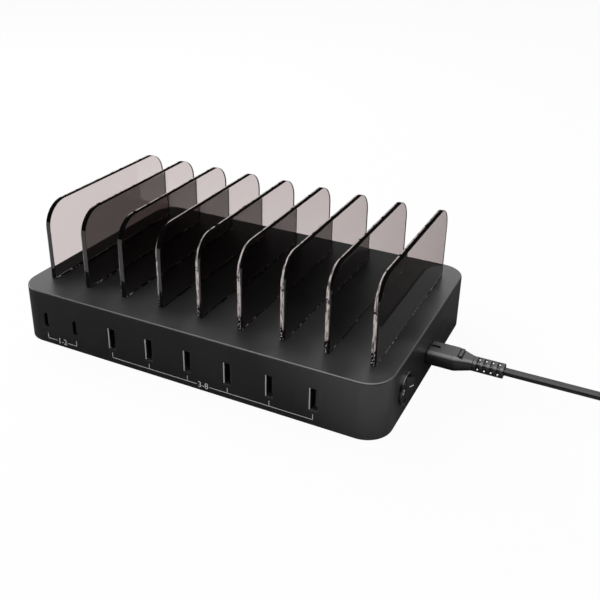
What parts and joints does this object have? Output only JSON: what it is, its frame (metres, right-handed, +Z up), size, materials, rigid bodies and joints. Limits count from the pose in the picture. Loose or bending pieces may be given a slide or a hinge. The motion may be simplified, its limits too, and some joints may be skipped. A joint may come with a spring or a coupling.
{
  "type": "device charging station",
  "caption": "Low mains-powered charging box with upright smoked dividers for phones and tablets, charging sockets in front, a rocker switch and a plug-in flat lead.",
  "frame": {"origin": "middle of the footprint without the lead, on the surface that the feet stand on", "axes": "+X to the right, the side with the switch and the mains inlet; +Y to the back, away from the sockets; +Z up"},
  "size_m": [0.4265, 0.1505, 0.0782],
  "materials": {
    "housing_plastic": "fine-grained satin, moulded",
    "base_plastic": "fine-grained satin, moulded",
    "smoked_acrylic": "polished clear smoked acrylic",
    "foot_rubber": "matt",
    "screw_steel": "zinc plated",
    "socket_steel": "nickel plated",
    "insulator_plastic": "satin",
    "switch_plastic": "polished",
    "rocker_plastic": "polished",
    "contact_brass": "stamped",
    "circuit_board": "solder mask",
    "header_nylon": "natural",
    "wire_insulation": "satin",
    "fuse_glass": "clear",
    "copper_winding": "enamelled",
    "capacitor_case": "smooth",
    "chip_epoxy": "moulded",
    "can_sleeve": "shrunk sleeve",
    "ferrite": "ground",
    "heat_sink_aluminium": "extruded",
    "moulded_pvc": "satin, moulded",
    "cord_pvc": "satin, extruded",
    "strap_fabric": "hook and loop"
  },
  "bodies": {
    "station": {"top_housing": "housing_plastic", "base_plate": "base_plastic", "rubber_feet": "foot_rubber", "base_screws": "screw_steel", "usb_a_shell_1": "socket_steel", "usb_a_shell_2": "socket_steel", "usb_a_shell_3": "socket_steel", "usb_a_shell_4": "socket_steel", "usb_a_shell_5": "socket_steel", "usb_a_shell_6": "socket_steel", "usb_a_tongue_1": "insulator_plastic", "usb_a_tongue_2": "insulator_plastic", "usb_a_tongue_3": "insulator_plastic", "usb_a_tongue_4": "insulator_plastic", "usb_a_tongue_5": "insulator_plastic", "usb_a_tongue_6": "insulator_plastic", "usb_c_shell_1": "socket_steel", "usb_c_shell_2": "socket_steel", "usb_c_tongue_1": "insulator_plastic", "usb_c_tongue_2": "insulator_plastic", "switch_body": "switch_plastic", "inlet_body": "insulator_plastic", "inlet_pins": "contact_brass", "port_board": "circuit_board", "board_header": "header_nylon", "main_board": "circuit_board", "board_screws": "screw_steel", "switch_terminals": "contact_brass", "line_wires": "wire_insulation", "fuse": "fuse_glass", "line_choke": "copper_winding", "line_filter_capacitor": "capacitor_case", "bridge_rectifier": "chip_epoxy", "bulk_capacitor": "can_sleeve", "transformer_core": "ferrite", "transformer_coil": "copper_winding", "power_transistor": "chip_epoxy", "primary_heat_sink": "heat_sink_aluminium", "secondary_heat_sink": "heat_sink_aluminium", "output_capacitors": "can_sleeve", "output_inductors": "ferrite", "charge_controllers": "chip_epoxy"},
    "divider_1_plate": {"divider_1": "smoked_acrylic"},
    "divider_2_plate": {"divider_2": "smoked_acrylic"},
    "divider_3_plate": {"divider_3": "smoked_acrylic"},
    "divider_4_plate": {"divider_4": "smoked_acrylic"},
    "divider_5_plate": {"divider_5": "smoked_acrylic"},
    "divider_6_plate": {"divider_6": "smoked_acrylic"},
    "divider_7_plate": {"divider_7": "smoked_acrylic"},
    "divider_8_plate": {"divider_8": "smoked_acrylic"},
    "divider_9_plate": {"divider_9": "smoked_acrylic"},
    "rocker": {"switch_rocker": "rocker_plastic"},
    "lead": {"connector": "moulded_pvc", "connector_boot": "moulded_pvc", "cord": "cord_pvc", "cord_coil": "cord_pvc", "coil_tie": "strap_fabric", "mains_plug": "moulded_pvc", "plug_blades": "contact_brass"}
  },
  "joints": [
    {"name": "divider_1_lift", "type": "slide", "parent": "station", "child": "divider_1_plate", "axis": [0, 0, 1], "range_m": [0, 0.012]},
    {"name": "divider_2_lift", "type": "slide", "parent": "station", "child": "divider_2_plate", "axis": [0, 0, 1], "range_m": [0, 0.012]},
    {"name": "divider_3_lift", "type": "slide", "parent": "station", "child": "divider_3_plate", "axis": [0, 0, 1], "range_m": [0, 0.012]},
    {"name": "divider_4_lift", "type": "slide", "parent": "station", "child": "divider_4_plate", "axis": [0, 0, 1], "range_m": [0, 0.012]},
    {"name": "divider_5_lift", "type": "slide", "parent": "station", "child": "divider_5_plate", "axis": [0, 0, 1], "range_m": [0, 0.012]},
    {"name": "divider_6_lift", "type": "slide", "parent": "station", "child": "divider_6_plate", "axis": [0, 0, 1], "range_m": [0, 0.012]},
    {"name": "divider_7_lift", "type": "slide", "parent": "station", "child": "divider_7_plate", "axis": [0, 0, 1], "range_m": [0, 0.012]},
    {"name": "divider_8_lift", "type": "slide", "parent": "station", "child": "divider_8_plate", "axis": [0, 0, 1], "range_m": [0, 0.012]},
    {"name": "divider_9_lift", "type": "slide", "parent": "station", "child": "divider_9_plate", "axis": [0, 0, 1], "range_m": [0, 0.012]},
    {"name": "switch_tip", "type": "hinge", "parent": "station", "child": "rocker", "pos_m": [0.1079, -0.041, 0.0164], "axis": [0, 0, 1], "range_deg": [0, 26]},
    {"name": "lead_pull", "type": "slide", "parent": "station", "child": "lead", "axis": [1, 0, 0], "range_m": [0, 0.014]}
  ]
}
